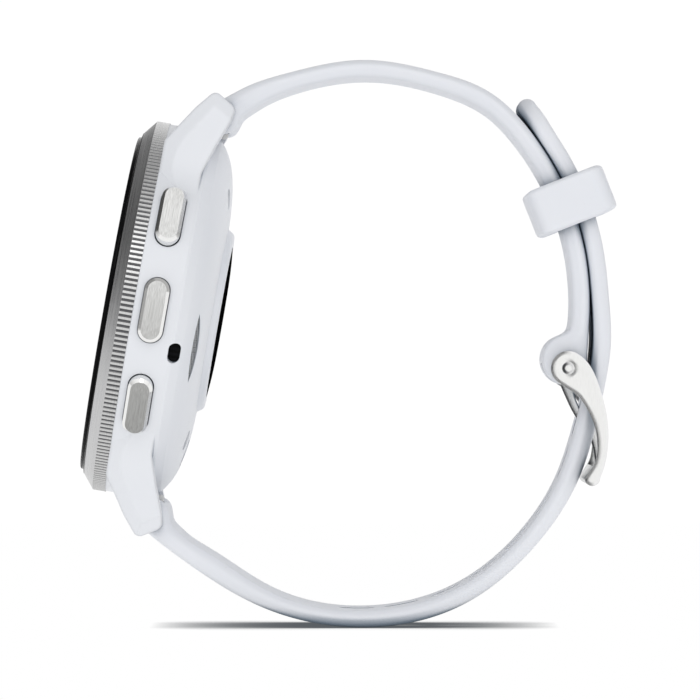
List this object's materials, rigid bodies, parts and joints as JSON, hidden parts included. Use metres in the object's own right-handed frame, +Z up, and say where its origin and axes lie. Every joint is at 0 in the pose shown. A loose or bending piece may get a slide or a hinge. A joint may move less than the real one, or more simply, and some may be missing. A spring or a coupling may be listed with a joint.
{
  "type": "gps running watch",
  "caption": "Round sports watch with ribbed steel bezel, push buttons on one side, optical sensor on the back and a silicone strap closed by a buckle and keeper.",
  "frame": {"origin": "centre of the rear sensor window's outer face", "axes": "+Z up as the watch stands on its closed strap, 12 o'clock upwards; the display faces -Y and leans back 10 degrees; +X towards 3 o'clock, where the push buttons are"},
  "size_m": [0.0459, 0.0644, 0.0678],
  "materials": {
    "antenna_gold": "plated",
    "battery_foil": "satin foil",
    "bezel_steel": "circular brushed with ribbed edge",
    "buckle_steel": "brushed sides, polished edges",
    "button_steel": "brushed top, polished edge",
    "screw_steel": "polished",
    "contact_gold": "plated",
    "port_polymer": "satin",
    "cover_glass": "polished",
    "clear_film": "clear",
    "flex_circuit": "amber film",
    "display_panel": "gloss black",
    "gasket_rubber": "matt",
    "chassis_polymer": "satin",
    "bar_steel": "satin",
    "component_black": "satin",
    "black_mesh": "woven mesh",
    "case_polymer": "fine satin",
    "circuit_board": "solder mask",
    "led_resin": "clear resin",
    "photodiode": "gloss",
    "sensor_glass": "gloss black",
    "shield_steel": "satin",
    "steel_mesh": "perforated",
    "strap_silicone": "soft satin silicone",
    "rotor_tungsten": "machined"
  },
  "bodies": {
    "watch": {"antenna": "antenna_gold", "battery": "battery_foil", "bezel_gasket": "gasket_rubber", "bezel_ring": "bezel_steel", "button_switches": "component_black", "case_back": "case_polymer", "case_back_gasket": "gasket_rubber", "case_screws": "screw_steel", "charging_contacts": "contact_gold", "charging_port": "port_polymer", "cover_glass": "cover_glass", "display_adhesive": "clear_film", "display_flex": "flex_circuit", "display_panel": "display_panel", "glass_gasket": "gasket_rubber", "inner_chassis": "chassis_polymer", "lower_bar_spring": "bar_steel", "lower_spring_bar_tube": "bar_steel", "lower_strap": "strap_silicone", "main_board": "circuit_board", "microphone": "component_black", "microphone_grille": "black_mesh", "mid_case": "case_polymer", "sensor_board": "circuit_board", "sensor_leds": "led_resin", "sensor_photodiodes": "photodiode", "sensor_window": "sensor_glass", "shield_cans": "shield_steel", "side_flex": "flex_circuit", "speaker": "component_black", "speaker_mesh": "steel_mesh", "upper_bar_spring": "bar_steel", "upper_spring_bar_tube": "bar_steel", "upper_strap": "strap_silicone", "vibration_can": "shield_steel", "vibration_shaft": "screw_steel"},
    "upper_button": {"button_upper": "button_steel", "button_upper_seal": "gasket_rubber", "button_upper_clip": "screw_steel"},
    "middle_button": {"button_middle": "button_steel", "button_middle_seal": "gasket_rubber", "button_middle_clip": "screw_steel"},
    "lower_button": {"button_lower": "button_steel", "button_lower_seal": "gasket_rubber", "button_lower_clip": "screw_steel"},
    "upper_release": {"upper_release_pin": "bar_steel"},
    "lower_release": {"lower_release_pin": "bar_steel"},
    "buckle": {"buckle_frame": "buckle_steel", "buckle_pin": "buckle_steel"},
    "prong": {"buckle_prong": "buckle_steel"},
    "keeper": {"strap_keeper": "strap_silicone"},
    "motor_rotor": {"vibration_rotor": "rotor_tungsten"}
  },
  "joints": [
    {"name": "upper_button_press", "type": "slide", "parent": "watch", "child": "upper_button", "axis": [-0.866, -0.0868, -0.4924], "range_m": [0, 0.00045], "stiffness_N_per_m": 200},
    {"name": "middle_button_press", "type": "slide", "parent": "watch", "child": "middle_button", "axis": [-1, 0, 0], "range_m": [0, 0.00045], "stiffness_N_per_m": 200},
    {"name": "lower_button_press", "type": "slide", "parent": "watch", "child": "lower_button", "axis": [-0.866, 0.0868, 0.4924], "range_m": [0, 0.00045], "stiffness_N_per_m": 200},
    {"name": "upper_release_pull", "type": "slide", "parent": "watch", "child": "upper_release", "axis": [-1, 0, 0], "range_m": [0, 0.0016], "stiffness_N_per_m": 60, "deforming": ["upper_bar_spring"]},
    {"name": "lower_release_pull", "type": "slide", "parent": "watch", "child": "lower_release", "axis": [-1, 0, 0], "range_m": [0, 0.0016], "stiffness_N_per_m": 60, "deforming": ["lower_bar_spring"]},
    {"name": "buckle_swing", "type": "hinge", "parent": "watch", "child": "buckle", "pos_m": [0, 0.0414, -0.0055], "axis": [1, 0, 0], "range_deg": [0, 2]},
    {"name": "prong_swing", "type": "hinge", "parent": "buckle", "child": "prong", "pos_m": [0, 0.0414, -0.0055], "axis": [1, 0, 0], "range_deg": [0, 2]},
    {"name": "keeper_slide", "type": "hinge", "parent": "watch", "child": "keeper", "pos_m": [0, 0.0111, 0.0024], "axis": [1, 0, 0], "range_deg": [-8, 6]},
    {"name": "motor_spin", "type": "hinge", "parent": "watch", "child": "motor_rotor", "pos_m": [0.0099, -0.00323, 0.00991], "axis": [0, -0.9848, 0.1736], "continuous": true}
  ]
}
